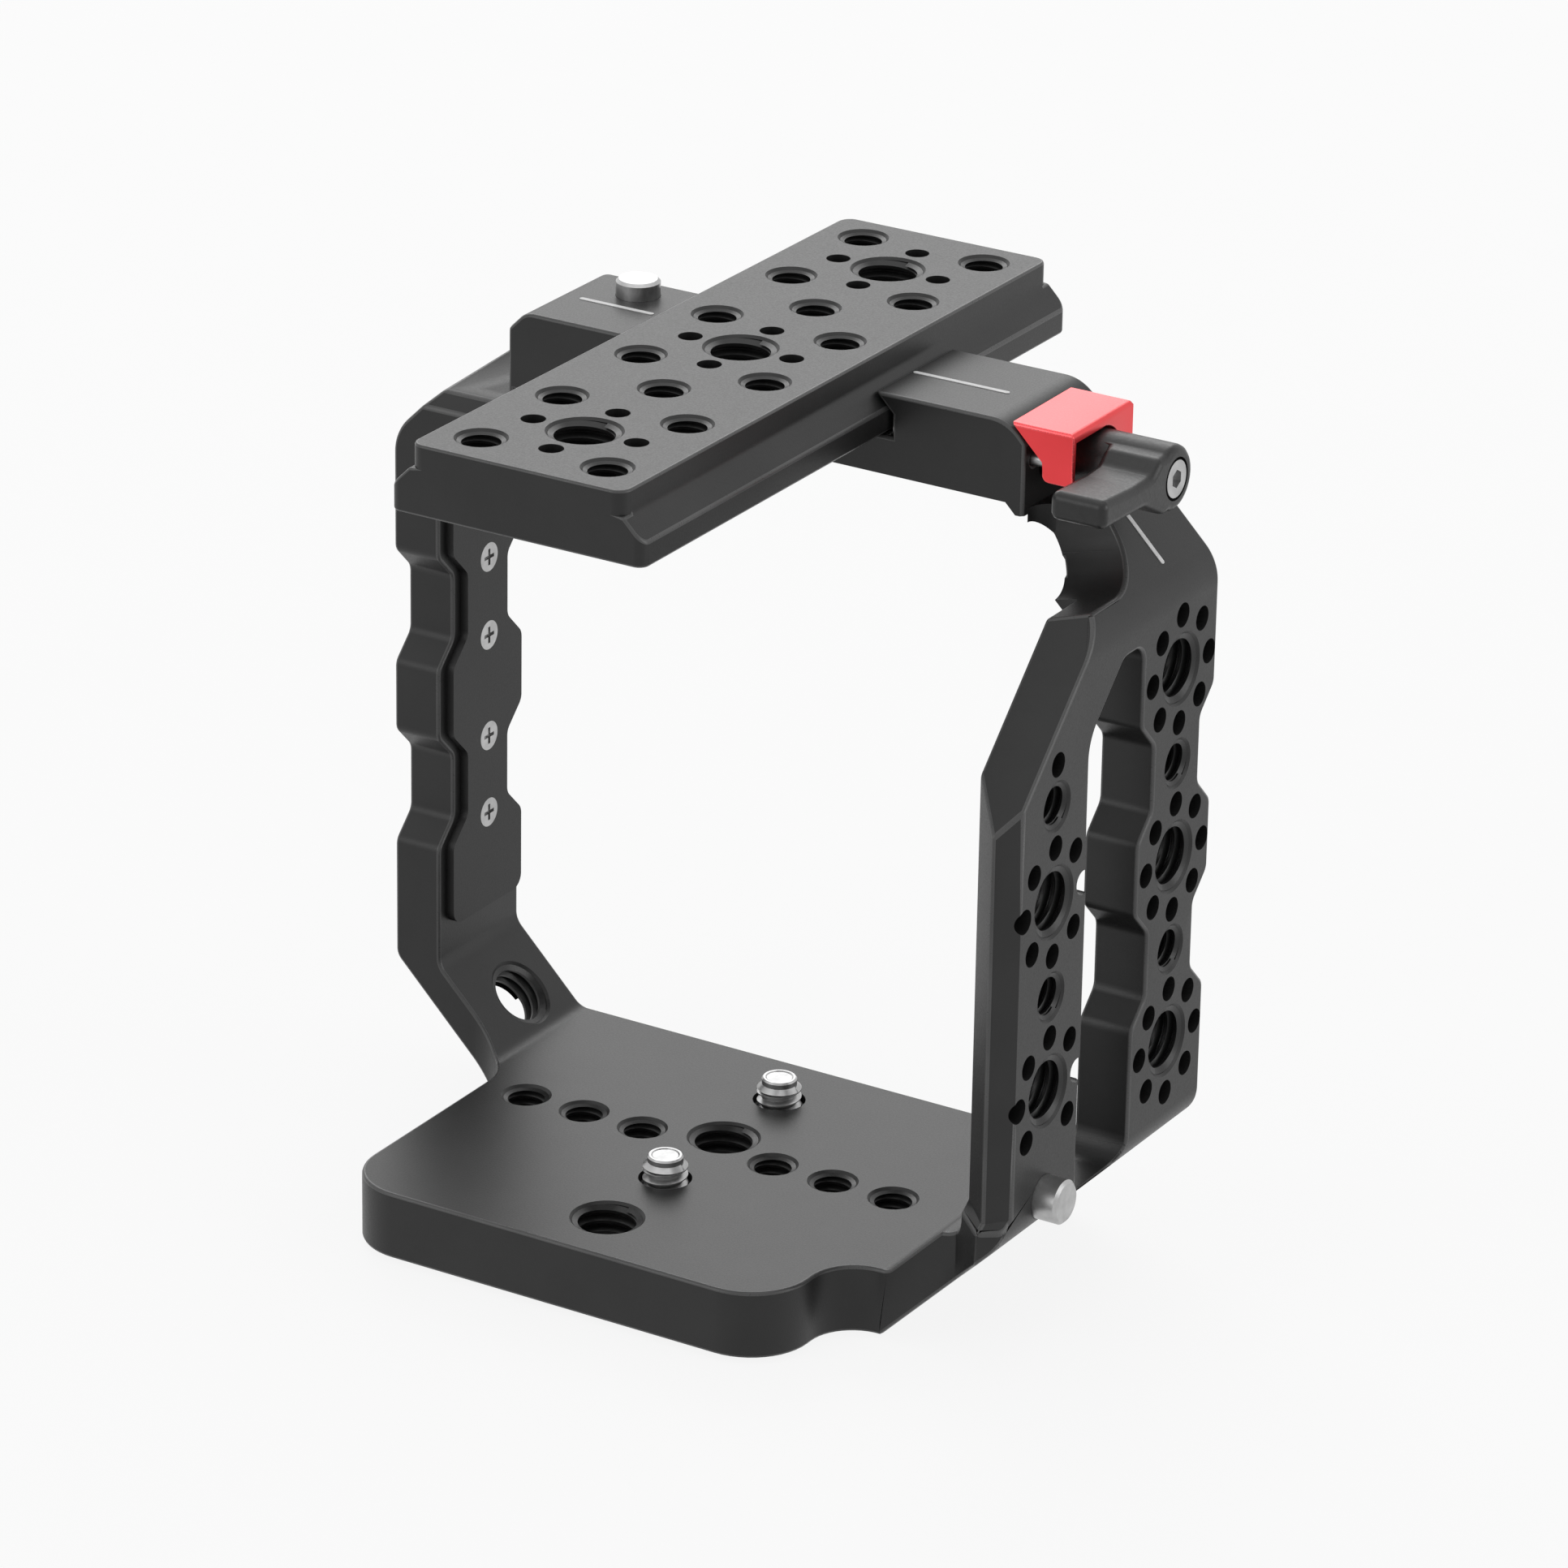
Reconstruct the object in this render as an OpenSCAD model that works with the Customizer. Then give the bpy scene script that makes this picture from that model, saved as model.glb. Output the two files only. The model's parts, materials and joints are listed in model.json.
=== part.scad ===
// Camera cage: a closed machined loop round a camera body, with a sliding top plate,
// a lever clamp for it, two sprung buttons and two captive camera screws.
// Millimetres. X runs to the right along the hole row of the base, Y to the rear, Z up.
// The origin lies on the top face of the base, at the middle of its hole row.

/* [Base] */
// Thickness of the base plate
base_thick = 9.7; // [9:0.1:12]
// Right edge of the tongue, from the middle of the hole row
tongue_right = 32.6; // [31.6:0.2:34]
// Front edge of the tongue, ahead of the hole row
tongue_front = 36; // [34:0.5:46]
// Corner radius of the tongue
tongue_corner = 9; // [4:0.5:10]
// Radius of the inner sweep from the tongue to the loop
tongue_sweep = 6.5; // [3:0.5:7]
// Fillet between the tongue and the left leg
leg_fillet = 8; // [4:0.5:9]
// First small hole of the row, from its middle
row_first = 10.5; // [10:0.1:11.5]
// Pitch of the small holes of the row
row_pitch = 9.5; // [8:0.1:10]
// Distance between the two camera screws, and between the two large holes
mid_pitch = 29.5; // [28:0.1:31]
// Rear camera screw, behind the hole row
mid_rear = 17.95; // [16.5:0.05:18.5]
// Step from each camera screw forward to the next large hole
mid_step = 14.5; // [13.5:0.1:15]
// Sideways place of the middle line
mid_x = 0.5; // [-0.5:0.1:1.5]

/* [Loop] */
// Half the outer width of the loop
loop_half = 58.6; // [57:0.2:62]
// Sideways place of the loop's middle
loop_x = 1.25; // [0.75:0.05:1.75]
// Rear face of the loop, behind the hole row
loop_rear = 29.1; // [28:0.1:31]
// Depth of the top bar and the left arm, front to rear
bar_depth = 20; // [19:0.5:21]
// Height of the top bar's upper face above the base
loop_top = 110.5; // [108:0.5:114]
// Thickness of the top bar
bar_thick = 11.3; // [10.8:0.1:12.5]
// Thickness of the left arm
left_thick = 7.3; // [6.5:0.1:8]
// Thickness of the right side plate
right_thick = 8; // [7.6:0.1:9]
// Height of the sloped upper corners
shoulder_rise = 21.3; // [20:0.1:22.5]
// Thickness of the sloped upper corners
shoulder_thick = 8; // [7.4:0.1:8.5]
// Height of the sloped lower corners
foot_rise = 20.7; // [20:0.1:21.5]
// Thickness of the sloped lower left corner
foot_left_thick = 5.1; // [4.6:0.1:5.6]
// Thickness of the sloped lower right corner
foot_right_thick = 6.2; // [5.6:0.1:6.6]

/* [Side plate] */
// Front edge of the plate's outer face, ahead of the hole row
face_front = 21.6; // [21:0.1:23]
// Front of the plate's nose, ahead of the hole row
nose_front = 24.8; // [24:0.1:26]
// Setback of the nose from the outer face
nose_setback = 2.7; // [2:0.1:3.2]
// Front face of the base's right part, ahead of the hole row
neck_front = 19.4; // [18.5:0.1:20]
// Drop from the top bar's upper face to where the front edge begins to slant back
slant_drop = 39.1; // [38:0.1:41]
// Thickness of the slanted strut between the front edge and the window
strut_thick = 9.2; // [8.5:0.1:10]
// Front edge of the window, ahead of the hole row
window_front = 4.7; // [4:0.1:5.2]
// Rear edge of the window, behind the hole row
window_rear = 9.3; // [8.6:0.1:9.8]
// Bottom of the window
window_low = 9.8; // [9:0.1:11]
// Drop from the top bar's upper face to the top of the window
window_drop = 26.6; // [26:0.1:28]
// Depth of the grip grooves
groove_depth = 3.6; // [2:0.1:4]
// Length of the flat at the bottom of a grip groove
groove_flat = 9.4; // [8:0.1:10]

/* [Hole patterns] */
// Place of the rear column of holes, behind the hole row
rear_row = 19.4; // [19:0.1:19.8]
// Place of the front column of holes, ahead of the hole row
front_row = 13; // [12.6:0.1:13.4]
// Pitch of the large holes in a column
rosette_pitch = 26.78; // [26:0.02:27.4]
// Height of the lowest large hole of the rear column
rear_first = 23.58; // [23:0.02:24.4]
// Height of the lowest large hole of the front column
front_first = 28.95; // [28:0.05:30]
// Radius of the ring of locating holes
ring_radius = 7.6; // [7.4:0.05:7.8]
// Radius of a locating hole
locate_radius = 1.7; // [1.4:0.05:1.8]
// Depth of a locating hole
locate_depth = 3; // [2:0.1:4]
// Radius of a large threaded hole, 3/8 inch
large_radius = 4.76; // [4.5:0.01:4.9]
// Radius of a small threaded hole, 1/4 inch
small_radius = 3.18; // [3:0.01:3.3]
// Width of the chamfer at the mouth of a threaded hole
mouth_chamfer = 0.35; // [0.2:0.05:0.5]

/* [Top plate] */
// Length of the sliding top plate
plate_length = 107.2; // [100:0.2:114]
// Front end of the top plate, ahead of the hole row
plate_front = 49.9; // [48:0.1:52]
// Width of its upper face
plate_top_width = 32.2; // [31:0.1:33]
// Width of its foot
plate_foot_width = 38.1; // [37.6:0.1:38.6]
// Sideways place of the plate's middle
plate_x = 1.15; // [0.8:0.05:1.5]
// Height of its upper face above the top bar
plate_proud = 4.1; // [3.8:0.1:4.6]
// Height of the upright edge below its upper face
plate_edge = 3.35; // [3:0.05:3.4]
// Height of the upright edge of its foot
plate_foot = 3.4; // [3.2:0.1:3.8]
// Corner radius of the plate's upper part
plate_corner = 2; // [1.5:0.1:3]
// Corner radius of the plate's foot
foot_corner = 1.5; // [1:0.1:3]
// Pitch of the plate's holes
plate_pitch = 18.85; // [18.4:0.05:19]
// First row of holes, from the plate's front end
plate_first = 6.65; // [6.2:0.05:7.5]
// Half the spacing of the two outer columns of holes
plate_half_gauge = 9.5; // [9.2:0.1:10.2]
// Radius of a locating hole in the plate
plate_locate_radius = 1.65; // [1.4:0.05:1.8]

/* [Clamp] */
// Drop from the top bar's upper face to the lever's axis
lever_drop = 6.2; // [6:0.1:6.4]
// Place of the lever's axis, behind the hole row
lever_y = 17.1; // [16.8:0.1:17.4]
// Radius of the lever's hub
hub_radius = 4.5; // [4:0.1:4.7]
// Length of the lever's hub
hub_length = 14; // [13.6:0.1:14]
// Reach of the lever's arm, from its axis
arm_reach = 19.2; // [17:0.1:20]
// Width of the arm at its tip
arm_tip_width = 8.1; // [6:0.1:8.7]
// Width of the arm at its root
arm_root_width = 8.8; // [8.2:0.1:9.4]
// Radius of the lever's threaded stud
stud_radius = 2.95; // [2.8:0.05:3]
// Width of the jaw's upper face
jaw_width = 9.2; // [8.6:0.1:9.2]
// Length of the jaw, front to rear
jaw_length = 16; // [15.6:0.1:16.4]
// Thickness of the jaw's stem
jaw_stem = 4.6; // [4.4:0.1:4.8]
// Height of the jaw
jaw_height = 7.4; // [7.2:0.1:7.8]
// Radius of a push rod between the jaw and the pressure pad
rod_radius = 0.9; // [0.7:0.05:0.95]
// Gap between the pressure pad and the top plate while the clamp is open
pad_gap = 0.4; // [0.36:0.01:0.45]

/* [Buttons and screws] */
// Radius of a sprung button
button_radius = 3.05; // [2.7:0.05:3.1]
// Height of the top button above the top bar
top_button_proud = 2.4; // [2.2:0.1:3]
// Sideways place of the top button, left of the row's middle
top_button_x = 27.4; // [26:0.1:29]
// Place of the top button, behind the hole row
top_button_y = 23.8; // [23:0.1:24]
// Place of the side button, ahead of the hole row
side_button_y = 13.4; // [13:0.1:13.8]
// Height of the side button's axis
side_button_z = 13.9; // [13:0.1:14]
// Length of the side button that stands out of the plate
side_button_proud = 3.5; // [2:0.1:4.5]
// Outer radius of a camera screw's thread
screw_radius = 3.1; // [3:0.01:3.2]
// Height of a camera screw above the base
screw_proud = 3.5; // [2.5:0.1:5]
// Radius of a camera screw's head
screw_head_radius = 6.6; // [6:0.1:6.8]
// Height of a camera screw's head
screw_head = 4.2; // [3.5:0.1:4.3]
// Thickness of the liner on the left arm
liner_thick = 1.2; // [0.8:0.1:1.6]

/* [Hidden] */
$fn = 64;
overrun = 1;
arc_steps = 12;
root_two = sqrt(2);
fit_gap = 0.05;
body_gap = 0.35;

bar_front = loop_rear - bar_depth;
bar_low = loop_top - bar_thick;
x_right = loop_x + loop_half;
x_left = loop_x - loop_half;
x_right_in = x_right - right_thick;
x_left_in = x_left + left_thick;
foot_top = foot_rise - base_thick;
foot_slope_right = x_right - foot_top;
foot_slope_left = x_left + foot_top;
foot_in_right = foot_slope_right - foot_right_thick * root_two;
foot_in_left = foot_slope_left + foot_left_thick * root_two;
seam_left = foot_slope_left + base_thick;
seam_right = foot_slope_right - base_thick;
shoulder_low = loop_top - shoulder_rise;
shoulder_slope_right = x_right + shoulder_low;
shoulder_slope_left = shoulder_low - x_left;
shoulder_in_right = shoulder_slope_right - shoulder_thick * root_two;
shoulder_in_left = shoulder_slope_left - shoulder_thick * root_two;
slant_height = loop_top - slant_drop + face_front;
window_top = loop_top - window_drop;
lever_z = loop_top - lever_drop;

// Toe of the side plate, where the lower slope meets a short ledge and a quarter round
toe_round = 3.8;
toe_x = x_right_in - toe_round;
toe_z = toe_x - foot_in_right;

// Corner radii of the loop's section
shoulder_round_right = 11;
shoulder_round_left = 3;
hip_round = 7;
foot_round = 2.5;
foot_in_round = 2.2;
toe_edge_round = 5;
wall_round = 3;
groove_round = 2;
window_round = 2.4;
window_low_round = 3.8;
nose_foot_step = 1.4;
foot_ramp = 1.4;
band_low = foot_top + foot_ramp;

// Grip grooves sit at the small holes of the rear column
groove_centres = [for (i = [0:1]) rear_first + rosette_pitch * (i + 0.5)];
groove_half = groove_flat / 2 + groove_depth;

// Pockets in the two upper corners
pocket_inset = 18.65;
pocket_drop = 12;
pocket_wall = 3.6;
pocket_half = loop_half - pocket_inset;
pocket_left = loop_x - pocket_half;
pocket_right = loop_x + pocket_half;
pocket_floor = loop_top - pocket_drop;
pocket_rear = loop_rear - pocket_wall;
scoop_drop = 19.3;
scoop_floor = loop_top - scoop_drop;
scoop_knee_from_rear = 20.8;
scoop_knee = loop_rear - scoop_knee_from_rear;
scoop_wall_from_rear = 14.9;
scoop_wall = loop_rear - scoop_wall_from_rear;
scoop_wall_drop = 13.9;
scoop_tilt = 14;
scoop_pivot_inset = 2.85;
scoop_pivot = x_right - scoop_pivot_inset;
scoop_round = 10;
scoop_wall_round = 8;
scoop_corner = 3.8;
scoop_open_step = 4.1;
bar_end_cut = 1.15;
left_scoop_drop = 16.6;
left_scoop_low = loop_top - left_scoop_drop;
left_scoop_knee_step = 2.3;
left_scoop_knee_y = bar_front + left_scoop_knee_step;
left_scoop_knee_drop = 14.6;
left_scoop_knee_z = loop_top - left_scoop_knee_drop;
left_scoop_rise = 3.3;

// Channel of the top bar for the plate's foot
plate_top = loop_top + plate_proud;
plate_bevel = (plate_foot_width - plate_top_width) / 2;
plate_low = plate_top - plate_edge - plate_bevel - plate_foot;
channel_floor = plate_low - body_gap;
channel_right = 1.1;
lip_gap = body_gap * root_two;

// Jaw, pad and rods of the clamp
jaw_inset = 11.45;
jaw_right = x_right - jaw_inset;
jaw_left = jaw_right - jaw_width;
jaw_front = lever_y - jaw_length / 2;
jaw_low = loop_top - jaw_height;
jaw_lip = 0.4;
jaw_chamfer = 0.55;
jaw_wall = 1.2;
jaw_cheek = 0.7;
jaw_roof = 1.3;
stem_left = jaw_right - jaw_stem;
stem_round = 1;
pad_left = plate_x + plate_foot_width / 2 + pad_gap;
pad_length = 13;
pad_thick = 3.4;
rod_offset = 5.4;
rod_z = jaw_low + stem_round + rod_radius;
pad_low = rod_z - rod_radius;
pad_height = 4;
insert_radius = 3.7;
insert_length = 8;
insert_setback = 1.2;
insert_left = pocket_right - insert_setback - insert_length;
stud_from_pad = 8.8;
stud_tip = pad_left + pad_thick + stud_from_pad;

// Lever: a flat arm that meets the hub in a step on top and a slope below
arm_tip_low = 1.3;
arm_tip_high = 2.7;
arm_tip_round = 1.2;
arm_dish_from_tip = 8.9;
arm_dish_high = 2.1;
arm_dish_round = 12;
arm_step_from_axis = 6.2;
arm_step_high = 2.2;
arm_step_round = 2;
arm_root_from_axis = 4.15;
arm_root_high = 3.8;
arm_root_round = 1.5;
arm_root_setback = 0.5;
arm_heel_from_axis = 2.6;
arm_heel_low = 4.3;
arm_belly_from_axis = 7.8;
arm_belly_low = 1.6;
arm_belly_round = 4;
hub_inset = 0.5;
hub_right = x_right - hub_inset;
hub_left = hub_right - hub_length;
lever_screw_radius = 2.55;
lever_screw_head = 1.4;
lever_screw_recess = 1.1;

// Buttons
button_chamfer = 0.4;
collar_step = 0.8;
collar_length = 1.3;
button_travel_top = 2;
button_travel_side = 1.2;
button_wall_top = 4.2;
button_wall_side = 2.9;
plug_top = 1.5;
plug_side = 1.1;
spring_wire = 0.35;

// Camera screws
recess_radius = 3.68;
recess_depth = 1.2;
web_thick = 4;
washer_thick = 0.6;
head_pocket_gap = 0.4;
slot_width = 1.4;
slot_depth = 1.6;
dog_step = 0.65;
dog_height = 0.9;

// Liner
liner_inset_front = 1.9;
liner_inset_rear = 1;
liner_low = 16.7;
liner_drop = 26.5;
liner_high = loop_top - liner_drop;
liner_row_from_rear = 9.2;
liner_row = loop_rear - liner_row_from_rear;
liner_middle_drop = 60.5;
liner_middle = loop_top - liner_middle_drop;
liner_screw_near = 7.55;
liner_screw_far = 19.15;
liner_screw_radius = 2.1;
liner_screw_shank = 1.2;
liner_screw_length = 4.5;
liner_screw_head = 1.1;

// Painted index lines
line_width = 0.75;
line_thick = 0.08;
line_from_rear = 10.9;
line_y = loop_rear - line_from_rear;
left_line_start = 5.6;
left_line_end = 6.45;
right_line_start = 1.85;
right_line_end = 7.6;
shoulder_line_inset = 8.35;
shoulder_line_length = 8.2;

black = "#1b1b1c";
steel = "#c9c9c6";
red = "#c8202a";

// Points of an outline whose corners are given as [x, y, radius]
function unit(v) = v / norm(v);
function turn(a) = a > 180 ? a - 360 : (a < -180 ? a + 360 : a);
function corner(before, here, after) =
    let (a = unit(before - here), b = unit(after - here))
    let (half = acos(a * b) / 2)
    [a, b, half];
function rounded(before, here, after, r) =
    let (c = corner(before, here, after))
    let (middle = here + unit(c[0] + c[1]) * r / sin(c[2]))
    let (from = here + c[0] * r / tan(c[2]) - middle)
    let (to = here + c[1] * r / tan(c[2]) - middle)
    let (start = atan2(from[1], from[0]))
    let (sweep = turn(atan2(to[1], to[0]) - start))
    [for (i = [0:arc_steps]) let (t = start + sweep * i / arc_steps) middle + r * [cos(t), sin(t)]];
function xy(p) = [p[0], p[1]];
function outline(points) = [
    for (i = [0:len(points) - 1])
    let (n = len(points), p = points[i])
    let (q = points[(i + n - 1) % n], s = points[(i + 1) % n])
    each (p[2] > 0 ? rounded(xy(q), xy(p), xy(s), p[2]) : [xy(p)])
];

// Extrusions of a side view along Y, of a section along X, and of a plan along Z
module along_y(from, to) {
    translate([0, to, 0]) rotate([90, 0, 0]) linear_extrude(to - from) children();
}
module along_x(from, to) {
    translate([from, 0, 0]) rotate([90, 0, 90]) linear_extrude(to - from) children();
}
module along_z(from, to) {
    translate([0, 0, from]) linear_extrude(to - from) children();
}
module shape(points) {
    polygon(outline(points));
}

// A hole bored down from the origin, with a chamfered mouth
module bored(r, depth, chamfer) {
    translate([0, 0, -depth - overrun]) cylinder(r = r, h = depth + 2 * overrun);
    translate([0, 0, -chamfer]) cylinder(r1 = r, r2 = r + chamfer + overrun, h = chamfer + overrun);
}
module large_hole(depth) {
    bored(large_radius, depth, mouth_chamfer);
}
module small_hole(depth) {
    bored(small_radius, depth, mouth_chamfer);
}
module blind_hole(r, depth) {
    translate([0, 0, -depth]) cylinder(r = r, h = depth + overrun);
}

// Places a child on the outer face of the side plate, with its +Z along +X
module on_side(y, z) {
    translate([x_right, y, z]) rotate([0, 90, 0]) children();
}

// A large hole in a ring of locating holes, counted from the lowest one
module rosette(first) {
    large_hole(right_thick);
    for (i = [first:7]) rotate(i * 45) translate([ring_radius, 0, 0])
    blind_hole(locate_radius, locate_depth);
}

// Corners of one grip groove that is cut back from y by depth, going up
function groove(y, depth, z) = [
    [y, z - groove_half, groove_round],
    [y - depth, z - groove_flat / 2, groove_round],
    [y - depth, z + groove_flat / 2, groove_round],
    [y, z + groove_half, groove_round]
];
function grooves(y, depth) = [for (z = groove_centres) each groove(y, depth, z)];
function reversed(list) = [for (i = [len(list) - 1:-1:0]) list[i]];

// Plan of the base: the tongue, the sweep to the neck and the rear edge
module base_outline() {
    shape([
        [seam_left, -tongue_front, tongue_corner],
        [tongue_right, -tongue_front, tongue_corner],
        [tongue_right, -neck_front, tongue_sweep],
        [seam_right, -neck_front, 0],
        [seam_right, loop_rear, 0],
        [seam_left, loop_rear, 0]
    ]);
}
function screw_y(i) = mid_rear - i * mid_pitch;

module base_plate() color(black) difference() {
    along_z(-base_thick, 0) base_outline();
    for (side = [-1, 1])
    for (i = [0:2]) translate([side * (row_first + i * row_pitch), 0, 0]) small_hole(base_thick);
    for (i = [0:1]) translate([mid_x, screw_y(i) - mid_step, 0]) large_hole(base_thick);
    for (i = [0:1]) translate([mid_x, screw_y(i), 0]) screw_bore();
}
// Bore of a captive camera screw, with a recess on top and a pocket for its head below
module screw_bore() {
    translate([0, 0, -base_thick]) cylinder(r = screw_radius + fit_gap, h = base_thick + overrun);
    blind_hole(recess_radius, recess_depth);
    translate([0, 0, -base_thick - overrun])
    cylinder(r = screw_head_radius + head_pocket_gap, h = base_thick - recess_depth - web_thick + overrun);
}

// Section of the lower left corner: a slope with rounded ends
module left_leg_section() {
    shape([
        [seam_left, -base_thick, 0],
        [seam_left, 0, 0],
        [foot_in_left, 0, wall_round],
        [x_left_in, foot_in_left - x_left_in, wall_round],
        [x_left_in, left_split, 0],
        [x_left, left_split, 0],
        [x_left, foot_top, foot_round]
    ]);
}
left_split = foot_in_left - x_left_in + wall_round;
module left_leg() color(black) difference() {
    intersection() {
        along_y(bar_front - leg_fillet, loop_rear) left_leg_section();
        along_z(-base_thick, left_split) left_leg_plan();
    }
    translate([left_hole_x, left_hole_y, foot_in_left - left_hole_x])
    rotate([0, 45, 0]) large_hole(foot_left_thick);
}
left_hole_inset = 13.85;
left_hole_from_rear = 9.1;
left_hole_x = x_left + left_hole_inset;
left_hole_y = loop_rear - left_hole_from_rear;
// Plan of the leg, with the fillet that runs out on the tongue's edge
module left_leg_plan() {
    translate([x_left, bar_front]) square([seam_left - x_left, bar_depth]);
    difference() {
        translate([seam_left - leg_fillet, bar_front - leg_fillet]) square([leg_fillet, leg_fillet + fit_gap]);
        translate([seam_left - leg_fillet, bar_front - leg_fillet]) circle(r = leg_fillet);
    }
}

// Section of the left wall and the sloped upper left corner
module left_arm_section() {
    shape([
        [x_left_in, left_split, 0],
        [x_left_in, shoulder_in_left + x_left_in, wall_round],
        [bar_low - shoulder_in_left, bar_low, 0],
        [pocket_left, bar_low, 0],
        [pocket_left, shoulder_slope_left + pocket_left, 0],
        [x_left, shoulder_low, hip_round],
        [x_left, left_split, 0]
    ]);
}
module left_arm() color(black) difference() {
    intersection() {
        along_y(bar_front, loop_rear) left_arm_section();
        along_x(x_left - overrun, pocket_left + overrun) shape(concat(
            [[bar_front, left_split, 0]],
            [for (p = grooves(bar_front, -groove_depth)) p],
            [[bar_front, loop_top, 0], [loop_rear, loop_top, 0]],
            reversed(grooves(loop_rear, groove_depth)),
            [[loop_rear, left_split, 0]]
        ));
    }
    left_scoop();
    liner_screw_places() rotate([0, 90, 0]) blind_hole(liner_screw_shank, liner_screw_length);
}
// Pocket that is milled into the upper left corner, beside the top bar
module left_scoop() {
    along_x(x_left - overrun, pocket_left) polygon([
        [bar_front - overrun, left_scoop_low - overrun],
        [left_scoop_knee_y, left_scoop_knee_z],
        [pocket_rear, left_scoop_knee_z + left_scoop_rise],
        [pocket_rear, loop_top + overrun],
        [bar_front - overrun, loop_top + overrun]
    ]);
}

// Section of the top bar from the left pocket to the right pocket
module crossbar_section() {
    shape([
        [pocket_left, bar_low, 0],
        [shoulder_in_right - bar_low, bar_low, 0],
        [pocket_right, shoulder_in_right - pocket_right, 0],
        [pocket_right, shoulder_slope_right - pocket_right - bar_end_drop, 0],
        [shoulder_slope_right - loop_top, loop_top, bar_end_round],
        [plate_x + plate_top_width / 2, loop_top, 0],
        [loop_top - shoulder_slope_left, loop_top, shoulder_round_left],
        [pocket_left, shoulder_slope_left + pocket_left, 0]
    ]);
}
bar_end_drop = 0.15;
bar_end_round = 6;
// Section of the channel, with lips over the bevels of the plate's foot
module channel_section() {
    half = plate_foot_width / 2;
    lip = plate_top_width / 2 + lip_gap;
    edge_z = plate_top - plate_edge;
    polygon([
        [plate_x - half - body_gap, channel_floor],
        [plate_x + half + channel_right, channel_floor],
        [plate_x + half + channel_right, edge_z - half - channel_right + lip],
        [plate_x + lip - overrun, edge_z + overrun],
        [plate_x - lip + overrun, edge_z + overrun],
        [plate_x - half - body_gap, edge_z - half - body_gap + lip]
    ]);
}
module crossbar() color(black) difference() {
    along_y(bar_front, loop_rear) crossbar_section();
    along_y(bar_front - overrun, loop_rear + overrun) channel_section();
    clamp_bores();
    bar_end_flat();
    translate([-top_button_x, top_button_y, loop_top]) button_bore(button_wall_top, bar_thick);
}
// Flat under the right end of the bar, ahead of the scoop's wall
module bar_end_flat() {
    translate([pocket_right - bar_end_cut, bar_front - overrun, shoulder_in_right - pocket_right - overrun])
    cube([bar_end_cut + overrun, scoop_wall - bar_front + overrun, bar_end_cut + overrun]);
}
// Bores for the stud, its insert, the two rods and the pocket of the pressure pad
module clamp_bores() {
    translate([stud_tip - overrun, lever_y, lever_z]) rotate([0, 90, 0])
    cylinder(r = stud_radius + body_gap, h = pocket_right - stud_tip + 2 * overrun);
    translate([insert_left, lever_y, lever_z]) rotate([0, 90, 0])
    cylinder(r = insert_radius, h = insert_length + insert_setback + overrun);
    for (side = [-1, 1]) translate([pad_left, lever_y + side * rod_offset, rod_z]) rotate([0, 90, 0])
    cylinder(r = rod_radius + fit_gap, h = pocket_right - pad_left + overrun);
    translate([pad_left - pad_gap, lever_y - pad_length / 2 - body_gap, pad_low - body_gap])
    cube([pad_gap + pad_thick + 2 * body_gap, pad_length + 2 * body_gap, pad_height + 2 * body_gap]);
}
// Bore of a sprung button: a guide on the outside and a wider chamber behind it
module button_bore(wall, depth) {
    translate([0, 0, -wall - overrun]) cylinder(r = button_radius + fit_gap, h = wall + 2 * overrun);
    translate([0, 0, -depth - overrun])
    cylinder(r = button_radius + collar_step + body_gap, h = depth - wall + overrun);
}

// Section of the right upper corner, from the top bar down to the side plate
module right_shoulder_section() {
    shape([
        [pocket_right, shoulder_in_right - pocket_right, 0],
        [pocket_right, shoulder_slope_right - pocket_right, 0],
        [x_right, shoulder_low, hip_round],
        [x_right, plate_split, 0],
        [x_right_in, plate_split, 0]
    ]);
}
plate_split = shoulder_in_right - x_right_in;
module right_shoulder() color(black) difference() {
    along_y(-nose_front, loop_rear) right_shoulder_section();
    slant_cut();
    along_x(pocket_right - overrun, x_right + overrun) polygon([
        [-nose_front - overrun, pocket_floor],
        [pocket_rear, pocket_floor],
        [pocket_rear, loop_top + overrun],
        [-nose_front - overrun, loop_top + overrun]
    ]);
    right_scoop();
    plate_holes();
    translate([pocket_right - overrun, -nose_front - overrun, plate_split - overrun])
    cube([x_right_in - pocket_right + overrun, scoop_open_y + nose_front + overrun, shoulder_rise + overrun]);
}
scoop_open_y = bar_front - scoop_open_step;
// Everything ahead of the slanted front edge
module slant_cut() {
    along_x(pocket_right - overrun, x_right + overrun) polygon([
        [-nose_front - overrun, slant_height - nose_front - overrun],
        [bar_front + bar_depth, slant_height + bar_front + bar_depth],
        [-nose_front - overrun, slant_height + bar_front + bar_depth]
    ]);
}
// Scoop under the lever, with a floor that falls gently towards the inside
module right_scoop() {
    intersection() {
        translate([scoop_pivot, 0, scoop_floor]) rotate([0, -scoop_tilt, 0])
        translate([-scoop_pivot, 0, -scoop_floor])
        along_x(loop_x, x_right + loop_half) shape([
            [-nose_front - overrun, scoop_floor, 0],
            [scoop_knee, scoop_floor, scoop_round],
            [scoop_wall, loop_top - scoop_wall_drop, scoop_wall_round],
            [scoop_wall, loop_top + loop_half, 0],
            [-nose_front - overrun, loop_top + loop_half, 0]
        ]);
        along_z(bar_low - shoulder_rise, loop_top + overrun) shape([
            [pocket_right, -nose_front - overrun, 0],
            [x_right + overrun, -nose_front - overrun, 0],
            [x_right + overrun, scoop_wall, 0],
            [pocket_right, scoop_wall, scoop_corner]
        ]);
    }
}

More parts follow.
